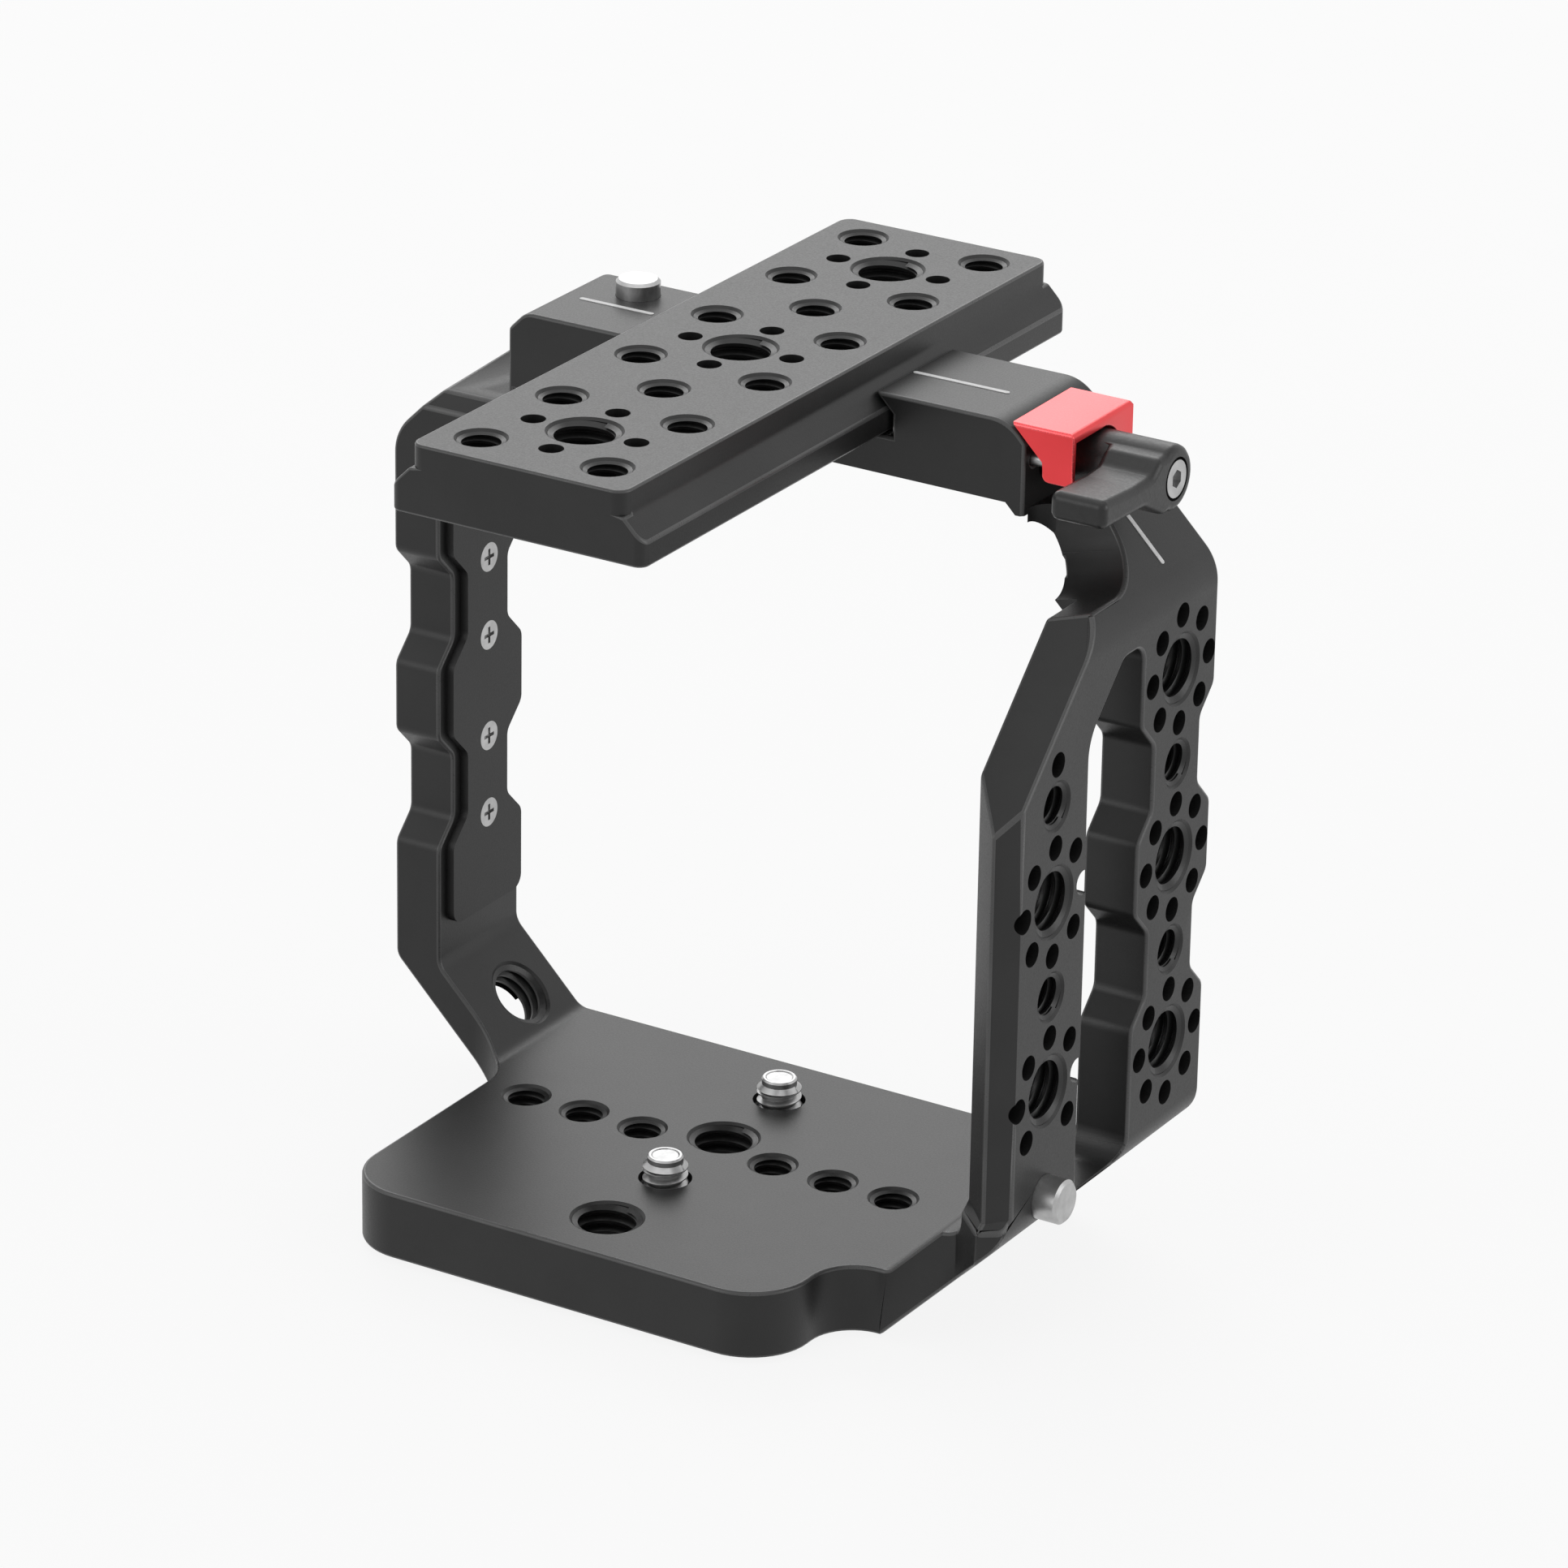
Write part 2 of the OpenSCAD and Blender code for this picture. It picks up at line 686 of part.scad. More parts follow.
// Side view of the plate: slanted front edge, grooved rear edge
module side_view() {
    shape(concat(
        [
            [loop_rear, toe_z - loop_half, 0],
            [loop_rear, toe_z, 0]
        ],
        grooves(loop_rear, groove_depth),
        [
            [loop_rear, plate_split, 0],
            [plate_split - slant_height, plate_split, 0],
            [-nose_foot, slant_height - nose_foot, 0],
            [-nose_foot, toe_z - loop_half, 0]
        ]
    ));
}
nose_foot = nose_front + nose_foot_step;
// Window between the two columns of the plate, with a grooved rear edge
module window_view() {
    slant = slant_height - strut_thick * root_two;
    shape(concat(
        [
            [-window_front, window_low, window_low_round],
            [window_rear, window_low, window_low_round]
        ],
        grooves(window_rear, -groove_depth),
        [
            [window_rear, window_top, window_round],
            [window_top - slant, window_top, window_round],
            [-window_front, slant - window_front, hip_round]
        ]
    ));
}
// Section of the plate with its sloped toe
module side_section() {
    shape([
        [toe_x, toe_x - foot_slope_right, 0],
        [x_right, foot_top, toe_edge_round],
        [x_right, plate_split, 0],
        [x_right_in, plate_split, 0],
        [x_right_in, toe_z, 0],
        [toe_x, toe_z, 0]
    ]);
    toe_fill();
}
module toe_fill() {
    difference() {
        translate([toe_x, toe_z]) square(toe_round);
        translate([toe_x, toe_z + toe_round]) circle(r = toe_round);
    }
}
// Plan of the plate's front, which comes to a blunt nose
module side_plan() {
    shape([
        [toe_x, -neck_front, 0],
        [nose_x - (nose_foot - neck_front), -neck_front, 0],
        [nose_x, -nose_foot, nose_round],
        [x_right, -nose_foot + nose_setback, foot_round],
        [x_right, loop_rear, 0],
        [toe_x, loop_rear, 0]
    ]);
}
nose_x = x_right - nose_setback;
nose_round = 0.8;
module side_plate() color(black) difference() {
    intersection() {
        along_y(-nose_foot, loop_rear) side_section();
        along_x(toe_x - overrun, x_right + overrun) side_view();
        along_z(-base_thick, plate_split + overrun) side_plan();
    }
    along_x(toe_x - overrun, x_right + overrun) window_view();
    inner_band();
    outer_band();
    plate_holes();
    on_side(-side_button_y, side_button_z) button_bore(button_wall_side, right_thick);
}
// Bevels of the nose, which end in a short ramp above the foot
module band(length) {
    rotate([90, 0, 90]) linear_extrude(length) polygon([
        [0, band_low + foot_ramp],
        [-foot_ramp, band_low],
        [-nose_front, band_low],
        [-nose_front, loop_top],
        [0, loop_top]
    ]);
}
module inner_band() {
    run = nose_x - x_right_in;
    drop = nose_front - neck_front + body_gap;
    translate([nose_x, -nose_front, 0]) rotate(180 - atan2(drop, run)) rotate([0, 0, 180])
    translate([-loop_half / 2, 0, 0]) band(loop_half / 2 + nose_setback);
}
module outer_band() {
    translate([nose_x, -nose_front, 0]) rotate(atan2(nose_front - face_front, nose_setback))
    translate([-nose_setback, 0, 0]) band(loop_half / 2);
}
function front_z(i) = front_first + i * rosette_pitch;
function rear_z(i) = rear_first + i * rosette_pitch;
module plate_holes() {
    for (i = [0:2]) on_side(rear_row, rear_z(i)) rosette(0);
    for (i = [0:1]) on_side(rear_row, rear_z(i + 0.5)) small_hole(right_thick);
    for (i = [0:1]) on_side(-front_row, front_z(i)) rosette(1 - i);
    for (i = [0:1]) on_side(-front_row, front_z(i + 0.5)) small_hole(right_thick);
    on_side(-front_row, front_z(2) - ring_radius) blind_hole(locate_radius, locate_depth);
}

// Lower right corner, between the base and the side plate
module right_leg() color(black) intersection() {
    along_y(-neck_front, loop_rear) shape([
        [seam_right, -base_thick, 0],
        [toe_x, toe_x - foot_slope_right, 0],
        [toe_x, toe_z, 0],
        [foot_in_right, 0, foot_in_round],
        [seam_right, 0, 0]
    ]);
}

// Liner on the inner face of the left arm
module liner_view() {
    shape(concat(
        [[bar_front + liner_inset_front, liner_low, groove_round]],
        grooves(bar_front + liner_inset_front, -groove_depth),
        [
            [bar_front + liner_inset_front, liner_high, groove_round],
            [loop_rear - liner_inset_rear, liner_high, groove_round]
        ],
        reversed(grooves(loop_rear - liner_inset_rear, groove_depth)),
        [[loop_rear - liner_inset_rear, liner_low, groove_round]]
    ));
}
module liner_screw_places() {
    for (z = [liner_screw_near, liner_screw_far])
    for (side = [-1, 1]) translate([x_left_in, liner_row, liner_middle + side * z]) children();
}
module liner_plate() color("#232324") difference() {
    along_x(x_left_in, x_left_in + liner_thick) liner_view();
    liner_screw_places() rotate([0, 90, 0]) {
        translate([0, 0, -overrun]) cylinder(r = liner_screw_shank, h = liner_thick + 2 * overrun);
        translate([0, 0, liner_thick - liner_screw_head])
        cylinder(r1 = liner_screw_shank, r2 = liner_screw_radius, h = liner_screw_head);
    }
}
module liner_screws() color(steel) liner_screw_places() rotate([0, 90, 0]) {
    translate([0, 0, -liner_screw_length])
    cylinder(r = liner_screw_shank, h = liner_screw_length + liner_thick - liner_screw_head);
    difference() {
        translate([0, 0, liner_thick - liner_screw_head])
        cylinder(r1 = liner_screw_shank, r2 = liner_screw_radius, h = liner_screw_head);
        cross_recess();
    }
}
// Cross recess in a screw head
module cross_recess() {
    for (a = [0, 90]) rotate(a)
    translate([-liner_screw_shank, -liner_screw_radius / 8, liner_thick - liner_screw_head / 2])
    cube([2 * liner_screw_shank, liner_screw_radius / 4, liner_screw_head]);
}

// White lines that show the plane of the camera's sensor
module index_lines() color("white") {
    half = plate_top_width / 2;
    left_start = pocket_left + left_line_start;
    right_start = plate_x + half + right_line_start;
    translate([left_start, line_y, loop_top]) stroke(plate_x - half - left_line_end - left_start);
    translate([right_start, line_y, loop_top]) stroke(pocket_right - right_line_end - right_start);
    translate([shoulder_line_x, line_y, shoulder_slope_right - shoulder_line_x])
    rotate([0, 45, 0]) stroke(shoulder_line_length);
}
// A painted line with round ends
module stroke(length) {
    end = line_width / 2;
    translate([end, -end, 0]) cube([length - line_width, line_width, line_thick]);
    for (x = [end, length - end]) translate([x, 0, 0]) cylinder(r = end, h = line_thick);
}
shoulder_line_x = x_right - shoulder_line_inset;

// Washers between the heads of the camera screws and the web of the base
module screw_washers() color(steel) for (i = [0:1]) translate([mid_x, screw_y(i), washer_low])
difference() {
    cylinder(r = screw_head_radius, h = washer_thick);
    translate([0, 0, -overrun]) cylinder(r = screw_radius + body_gap, h = washer_thick + 2 * overrun);
}
washer_low = -recess_depth - web_thick - washer_thick;

// Plugs that close the chambers of the buttons from the inside
module top_button_plug() color(black) translate([-top_button_x, top_button_y, loop_top - bar_thick])
cylinder(r = button_radius + collar_step + body_gap, h = plug_top);
module side_button_plug() color(black) translate([x_right_in, -side_button_y, side_button_z])
rotate([0, 90, 0]) cylinder(r = button_radius + collar_step + body_gap, h = plug_side);

// A sprung button with a collar behind the guide, its outer end at the origin
module button(proud, wall) {
    length = proud + wall + body_gap + collar_length;
    translate([0, 0, -length]) cylinder(r = button_radius, h = length - button_chamfer);
    translate([0, 0, -button_chamfer])
    cylinder(r1 = button_radius, r2 = button_radius - button_chamfer, h = button_chamfer);
    translate([0, 0, -length]) cylinder(r = button_radius + collar_step, h = collar_length);
}
module top_button() color(steel) translate([-top_button_x, top_button_y, loop_top + top_button_proud])
button(top_button_proud, button_wall_top);
module side_button() color(steel) on_side(-side_button_y, side_button_z)
translate([0, 0, side_button_proud]) button(side_button_proud, button_wall_side);

// A coil spring drawn as a sleeve of its wire's thickness
module spring(length) {
    rotate_extrude() translate([button_radius - spring_wire, 0]) square([spring_wire, length]);
}
module top_button_spring() color(steel)
translate([-top_button_x, top_button_y, loop_top - bar_thick + plug_top])
spring(bar_thick - plug_top - button_wall_top - body_gap - collar_length);
module side_button_spring() color(steel)
translate([x_right_in + plug_side, -side_button_y, side_button_z]) rotate([0, 90, 0])
spring(right_thick - plug_side - button_wall_side - body_gap - collar_length);

// Threaded insert of the clamp's stud in the end of the top bar
module stud_insert() color("#b79a55")
translate([insert_left, lever_y, lever_z]) rotate([0, 90, 0])
difference() {
    cylinder(r = insert_radius, h = insert_length);
    translate([0, 0, -overrun]) cylinder(r = stud_radius + fit_gap, h = insert_length + 2 * overrun);
}

// Sliding top plate with its two rows and its middle line of holes
function plate_y(k) = -plate_front + plate_first + k * plate_pitch;
module plate_slab(width, corner_radius, low, high) {
    rear = plate_length - plate_front;
    along_z(low, high) shape([
        [plate_x - width / 2, -plate_front, corner_radius],
        [plate_x + width / 2, -plate_front, corner_radius],
        [plate_x + width / 2, rear, corner_radius],
        [plate_x - width / 2, rear, corner_radius]
    ]);
}
module top_plate() color(black) difference() {
    union() {
        plate_slab(plate_top_width, plate_corner, plate_low, plate_top);
        plate_slab(plate_foot_width, foot_corner, plate_low, plate_low + plate_foot);
        intersection() {
            plate_slab(plate_foot_width, foot_corner, plate_low, plate_top);
            along_y(-plate_front, plate_length - plate_front) polygon([
                [plate_x - plate_foot_width / 2, plate_low],
                [plate_x + plate_foot_width / 2, plate_low],
                [plate_x + plate_foot_width / 2, plate_low + plate_foot],
                [plate_x + plate_top_width / 2, plate_top - plate_edge],
                [plate_x - plate_top_width / 2, plate_top - plate_edge],
                [plate_x - plate_foot_width / 2, plate_low + plate_foot]
            ]);
        }
    }
    translate([plate_x, 0, plate_top]) plate_pattern();
}
module plate_pattern() {
    depth = plate_top - plate_low;
    for (k = [0:5])
    for (side = [-1, 1]) translate([side * plate_half_gauge, plate_y(k), 0]) small_hole(depth);
    for (k = [1.5, 3.5]) translate([0, plate_y(k), 0]) small_hole(depth);
    for (k = [0.5, 2.5, 4.5]) translate([0, plate_y(k), 0]) {
        large_hole(depth);
        for (a = [0:90:270]) rotate(a) translate([plate_ring, 0, 0])
        blind_hole(plate_locate_radius, locate_depth);
    }
}
plate_ring = 7.8;

// Red jaw: its lip lies over the rounded end of the top bar, and the hub sits in its pocket
module clamp_jaw() color(red) difference() {
    along_y(jaw_front, jaw_front + jaw_length) shape([
        [jaw_left, loop_top, 0],
        [jaw_left, shoulder_slope_right + jaw_lip * root_two - jaw_left, 0],
        [stem_left, shoulder_slope_right + jaw_lip * root_two - stem_left, 0],
        [stem_left, jaw_low, stem_round],
        [jaw_right, jaw_low, 0],
        [jaw_right, loop_top - jaw_chamfer, 0],
        [jaw_right - jaw_chamfer, loop_top, 0]
    ]);
    translate([jaw_left - overrun, lever_y, lever_z]) rotate([0, 90, 0])
    cylinder(r = stud_radius + fit_gap, h = jaw_width + 2 * overrun);
    translate([stem_left + jaw_wall, jaw_front + jaw_cheek, jaw_low - overrun])
    cube([jaw_stem, jaw_length / 2 - jaw_cheek, jaw_height - jaw_roof + overrun]);
    translate([stem_left + jaw_wall, lever_y, lever_z]) rotate([0, 90, 0])
    cylinder(r = hub_radius + body_gap, h = jaw_stem);
}
module clamp_rods() color(steel) for (side = [-1, 1])
translate([pad_left + pad_thick, lever_y + side * rod_offset, rod_z]) rotate([0, 90, 0])
cylinder(r = rod_radius, h = stem_left - pad_left - pad_thick);
module pressure_pad() color(steel) translate([pad_left, lever_y - pad_length / 2, pad_low])
cube([pad_thick, pad_length, pad_height]);

// Lever: a round hub with a shaped arm, seen along its axis and from above
module lever_side() {
    shape([
        [-arm_reach, -arm_tip_low, arm_tip_round],
        [-arm_reach, arm_tip_high, arm_tip_round],
        [arm_dish_from_tip - arm_reach, arm_dish_high, arm_dish_round],
        [-arm_step_from_axis, arm_step_high, arm_step_round],
        [-arm_root_from_axis, arm_root_high, arm_root_round],
        [0, hub_radius - arm_root_setback, 0],
        [0, arm_root_setback - hub_radius, 0],
        [-arm_heel_from_axis, -arm_heel_low, arm_root_round],
        [-arm_belly_from_axis, -arm_belly_low, arm_belly_round]
    ]);
}
module lever_plan() {
    polygon([
        [hub_right, -arm_reach - overrun],
        [hub_right, 0],
        [hub_right - arm_root_width, 0],
        [hub_right - arm_tip_width, -arm_reach - overrun]
    ]);
}
module lever_handle() color("#202022") translate([0, lever_y, lever_z]) difference() {
    union() {
        translate([hub_left, 0, 0]) rotate([0, 90, 0]) cylinder(r = hub_radius, h = hub_length);
        intersection() {
            along_x(hub_right - arm_root_width - overrun, hub_right) lever_side();
            along_z(-arm_reach, arm_reach) lever_plan();
        }
    }
    translate([hub_left - overrun, 0, 0]) rotate([0, 90, 0])
    cylinder(r = stud_radius, h = hub_length + 2 * overrun);
}
// Stud of the lever, threaded into the insert
module lever_stud() color(steel) translate([0, lever_y, lever_z]) rotate([0, 90, 0])
translate([0, 0, stud_tip]) cylinder(r = stud_radius, h = hub_right - stud_tip - lever_screw_head);
module lever_screw() color(steel) translate([hub_right - lever_screw_head, lever_y, lever_z])
rotate([0, 90, 0]) difference() {
    cylinder(r = lever_screw_radius, h = lever_screw_head);
    translate([0, 0, lever_screw_head - lever_screw_recess])
    cylinder(r = lever_screw_radius / 2, h = lever_screw_recess + overrun, $fn = 6);
}

// Captive camera screw: a slotted head below the web, with a shank up to the recess
module camera_screw() color(steel) difference() {
    union() {
        translate([0, 0, washer_low - body_gap - screw_head]) cylinder(r = screw_head_radius, h = screw_head);
        translate([0, 0, washer_low - body_gap])
        cylinder(r = screw_radius, h = body_gap - recess_depth - washer_low);
    }
    translate([-screw_head_radius - overrun, -slot_width / 2, washer_low - body_gap - screw_head - overrun])
    cube([2 * (screw_head_radius + overrun), slot_width, slot_depth + overrun]);
}
// Threaded end of a camera screw, with a smaller dog point
module camera_thread() color(steel) {
    translate([0, 0, -recess_depth]) cylinder(r = screw_radius, h = recess_depth + screw_proud - dog_height);
    translate([0, 0, -recess_depth]) cylinder(r = screw_radius - dog_step, h = recess_depth + screw_proud);
}
module camera_screw_front() translate([mid_x, screw_y(1), 0]) camera_screw();
module camera_screw_rear() translate([mid_x, screw_y(0), 0]) camera_screw();
module camera_thread_front() translate([mid_x, screw_y(1), 0]) camera_thread();
module camera_thread_rear() translate([mid_x, screw_y(0), 0]) camera_thread();

base_plate();
left_leg();
left_arm();
crossbar();
right_shoulder();
side_plate();
right_leg();
liner_plate();
liner_screws();
index_lines();
screw_washers();
top_button_plug();
side_button_plug();
top_button_spring();
side_button_spring();
stud_insert();
top_plate();
clamp_jaw();
clamp_rods();
pressure_pad();
lever_handle();
lever_stud();
lever_screw();
top_button();
side_button();
camera_screw_front();
camera_screw_rear();
camera_thread_front();
camera_thread_rear();
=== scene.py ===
import json
import math

import bmesh
import bpy
from mathutils import Matrix, Vector


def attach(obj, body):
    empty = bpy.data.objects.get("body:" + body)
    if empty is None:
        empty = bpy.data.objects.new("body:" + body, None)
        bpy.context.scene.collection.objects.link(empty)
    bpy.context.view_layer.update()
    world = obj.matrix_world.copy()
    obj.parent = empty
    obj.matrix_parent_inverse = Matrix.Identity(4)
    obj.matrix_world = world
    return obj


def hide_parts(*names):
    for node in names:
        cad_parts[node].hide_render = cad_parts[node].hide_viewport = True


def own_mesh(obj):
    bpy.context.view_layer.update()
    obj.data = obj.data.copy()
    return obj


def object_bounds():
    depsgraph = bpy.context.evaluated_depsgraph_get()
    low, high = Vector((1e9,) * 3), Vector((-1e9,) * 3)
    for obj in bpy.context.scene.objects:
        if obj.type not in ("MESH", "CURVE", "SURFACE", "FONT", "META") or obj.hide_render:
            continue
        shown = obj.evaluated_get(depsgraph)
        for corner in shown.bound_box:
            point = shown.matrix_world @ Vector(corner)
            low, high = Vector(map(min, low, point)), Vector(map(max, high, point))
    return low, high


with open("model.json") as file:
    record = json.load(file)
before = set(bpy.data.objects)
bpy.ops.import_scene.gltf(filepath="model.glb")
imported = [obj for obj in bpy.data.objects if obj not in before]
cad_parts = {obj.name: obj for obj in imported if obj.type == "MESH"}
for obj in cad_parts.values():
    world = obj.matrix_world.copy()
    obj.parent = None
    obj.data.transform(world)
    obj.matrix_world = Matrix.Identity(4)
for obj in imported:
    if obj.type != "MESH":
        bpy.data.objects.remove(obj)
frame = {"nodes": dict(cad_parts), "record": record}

MM = 0.001
cad_low, cad_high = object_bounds()
nodes = frame["nodes"]

# Camera, solved from the right angles and the even pitches of the holes
CAMERA_PLACE = (0.490956, -0.796908, 0.450821)
CAMERA_RIGHT = (0.85315277, 0.52142158, 0.01580776)
CAMERA_DOWN = (0.2160908, -0.32566362, -0.92046074)
CAMERA_FORWARD = (-0.47480008, 0.78870954, -0.39051523)
CAMERA_LENS = 174.6
SENSOR_WIDTH = 36.0
CAMERA_CLIP = (0.05, 20.0)

# Threads: outer radius, inner radius and pitch in millimetres
SMALL_THREAD = (3.18, 2.58, 1.27)
LARGE_THREAD = (4.76, 3.99, 1.5875)
SCREW_THREAD = (3.1, 2.45, 1.27)
STEPS_PER_TURN = 64
MOUTH_CHAMFER = 0.35
# A tapped hole's ridges: their slope at the mouth, how far they sink into the wall and stop short of the end
LEAD_IN = 0.4
RIDGE_SINK = 0.02
RIDGE_SHORT = 0.05

# Places of the tapped holes, in millimetres, as in the part
SIDE_X = 59.85
SIDE_THICK = 8.0
REAR_ROW = 19.4
FRONT_ROW = -13.0
REAR_FIRST = 23.58
FRONT_FIRST = 28.95
RING_PITCH = 26.78
BASE_THICK = 9.7
BASE_ROW = (10.5, 20.0, 29.5)
BASE_MIDDLE_X = 0.5
BASE_LARGE = (3.45, -26.05)
PLATE_X = 1.15
PLATE_TOP = 114.6
PLATE_THICK = 9.7
PLATE_FIRST = -43.25
PLATE_PITCH = 18.85
PLATE_GAUGE = 9.5
LEG_HOLE = (-43.5, 20.0, 4.36)
LEG_THICK = 5.1

# How near a corner lies to a circle that it belongs to, and how far past the base's thickness below it
RIM_REACH = 0.06
RIM_SPARE = 0.5

# Plain round holes: locating holes, button guides, screw recesses and the bores of the clamp
RING_RADIUS = 7.6
LOCATE_RADIUS = 1.7
SIDE_RING_COUNT = 8
PLATE_RING_RADIUS = 7.8
PLATE_LOCATE_RADIUS = 1.65
PLATE_RING_COUNT = 4
BUTTON_GUIDE = 3.1
TOP_BUTTON = (-27.4, 23.8, 110.5)
SIDE_BUTTON = (59.85, -13.4, 13.9)
SCREW_RECESS = 3.68
SCREW_ROWS = {"camera_screw_front": -11.55, "camera_screw_rear": 17.95}
LINER_SCREWS = [(-50.05, 19.9, 50 + side * z) for side in (-1, 1) for z in (7.55, 19.15)]
LINER_SHANK = 1.2
JAW_MIDDLE = (44.0, 17.1, 104.3)
JAW_BORE = 3.0
HUB_MIDDLE = (52.35, 17.1, 104.3)
HUB_BORE = 2.95

# The visible end of a camera screw: the heights of its foot and its top, the length of its plain point, that
# point's chamfer, flat rim and dish, and how far it stands over the thread's core
SCREW_FOOT = -1.2
SCREW_REACH = 3.5
SCREW_POINT = 0.9
SCREW_LEAD_IN = -1.0
POINT_CHAMFER_ACROSS = 0.2
POINT_CHAMFER_ALONG = 0.25
POINT_RIM = 0.3
DISH_ACROSS = 0.2
DISH_DEPTH = 0.12
POINT_SKIN = 0.01

# Springs behind the buttons: the way each button goes in, and how far
PRESSES = {"top_button": ((0, 0, -1), 2.0), "side_button": ((-1, 0, 0), 1.2)}

# Rounding of the outer edges, in millimetres
LOOP_ROUND = 0.45
PLATE_ROUND = 0.35
LEVER_ROUND = 1.1
ROUND_SEGMENTS = 2
FINE_SEGMENTS = 3
# The jaw: its two long upper edges are rounded in full and the others by a share, but not its tip and slants
JAW_ROUND = 0.5
JAW_ROUND_SHARE = 0.4
JAW_TIP_X = 39.3
JAW_TOP_Z = 110.0
JAW_TOP_BAND = 1.0
JAW_LONG = 1.0
# Corners that lie closer than this become one: everywhere, and on the jaw, whose tip is that thin
WELD = 0.002
JAW_TIP_HEIGHT = 0.09
TINY = 1e-7
# Corners of boxes whose thin edges stay sharp: the bar's end and the tip of the scoop
KEPT_SHARP = [((38.5, 3, 92), (46, 17, 99.5)), ((47, -1, 84), (56, 10, 91))]
SHARP = math.radians(28)
FLAT = math.radians(0.6)


# Noise values between these two cover a look's whole range, and the height of a look's grain in metres
NOISE_LOW = 0.3
NOISE_HIGH = 0.7
GRAIN_HEIGHT = 0.00002
CLOUD_DETAIL = 4.0
GRAIN_DETAIL = 3.0


def graph(name):
    """A new material with its node tree and its surface shader."""
    material = bpy.data.materials.new(name)
    material.use_nodes = True
    tree = material.node_tree
    return material, tree, tree.nodes["Principled BSDF"]


def add(tree, kind, **settings):
    """Adds a node and sets its named inputs or properties."""
    node = tree.nodes.new(kind)
    for key, value in settings.items():
        if key in node.inputs:
            node.inputs[key].default_value = value
        else:
            setattr(node, key, value)
    return node


def noise(tree, scale, detail=2.0):
    """A noise texture in the part's own coordinates, with its scale per metre."""
    place = add(tree, "ShaderNodeTexCoord")
    texture = add(tree, "ShaderNodeTexNoise", Scale=scale, Detail=detail)
    tree.links.new(place.outputs["Object"], texture.inputs["Vector"])
    return texture.outputs["Fac"]


def ramp(tree, source, low, high):
    """Turns a noise value into a colour between low and high."""
    node = add(tree, "ShaderNodeValToRGB")
    node.color_ramp.elements[0].position = NOISE_LOW
    node.color_ramp.elements[1].position = NOISE_HIGH
    node.color_ramp.elements[0].color = (*low, 1.0)
    node.color_ramp.elements[1].color = (*high, 1.0)
    tree.links.new(source, node.inputs["Fac"])
    return node.outputs["Color"]


def spread(tree, source, low, high):
    """Maps a noise value on to low to high."""
    node = add(tree, "ShaderNodeMapRange")
    node.inputs["From Min"].default_value = NOISE_LOW
    node.inputs["From Max"].default_value = NOISE_HIGH
    node.inputs["To Min"].default_value = low
    node.inputs["To Max"].default_value = high
    tree.links.new(source, node.inputs["Value"])
    return node.outputs["Result"]


def surface(name, colours, rough, level, metallic, cloud_scale, grain_scale, grain):
    """A clouded colour with a fine grain in its roughness and its bump."""
    material, tree, shader = graph(name)
    cloud = noise(tree, cloud_scale, CLOUD_DETAIL)
    speck = noise(tree, grain_scale, GRAIN_DETAIL)
    relief = add(tree, "ShaderNodeBump", Strength=grain, Distance=GRAIN_HEIGHT)
    tree.links.new(speck, relief.inputs["Height"])
    tree.links.new(ramp(tree, cloud, *colours), shader.inputs["Base Color"])
    tree.links.new(spread(tree, speck, *rough), shader.inputs["Roughness"])
    tree.links.new(relief.outputs["Normal"], shader.inputs["Normal"])
    shader.inputs["Specular IOR Level"].default_value = level
    shader.inputs["Metallic"].default_value = metallic
    return material


def anodised(name, colours, rough, level=0.38, metallic=0.0):
    """Bead-blasted and anodised aluminium."""
    return surface(name, colours, rough, level, metallic, cloud_scale=90.0, grain_scale=4200.0, grain=0.5)


def steel(name, colours, rough):
    """Turned or ground metal."""
    return surface(name, colours, rough, level=0.5, metallic=1.0, cloud_scale=420.0, grain_scale=3600.0,
                   grain=0.3)


def coated(name, colours, rough):
    """Powder coat or paint with a fine orange-peel surface."""
    return surface(name, colours, rough, level=0.4, metallic=0.0, cloud_scale=900.0, grain_scale=2600.0,
                   grain=0.8)


def grey(low, high):
    """Two grey levels as colours."""
    return (low,) * 3, (high,) * 3


# The two colours that each look is clouded with, and in each look its range of roughness
BLACK = grey(0.010, 0.016)
# A lighter copy of the black for the rounded edges of the loop and the plate: painted highlight where the
# edges catch the light
EDGE_PAINTED_HIGHLIGHT = grey(0.06, 0.09)
RED = ((0.76, 0.030, 0.036), (0.86, 0.042, 0.050))
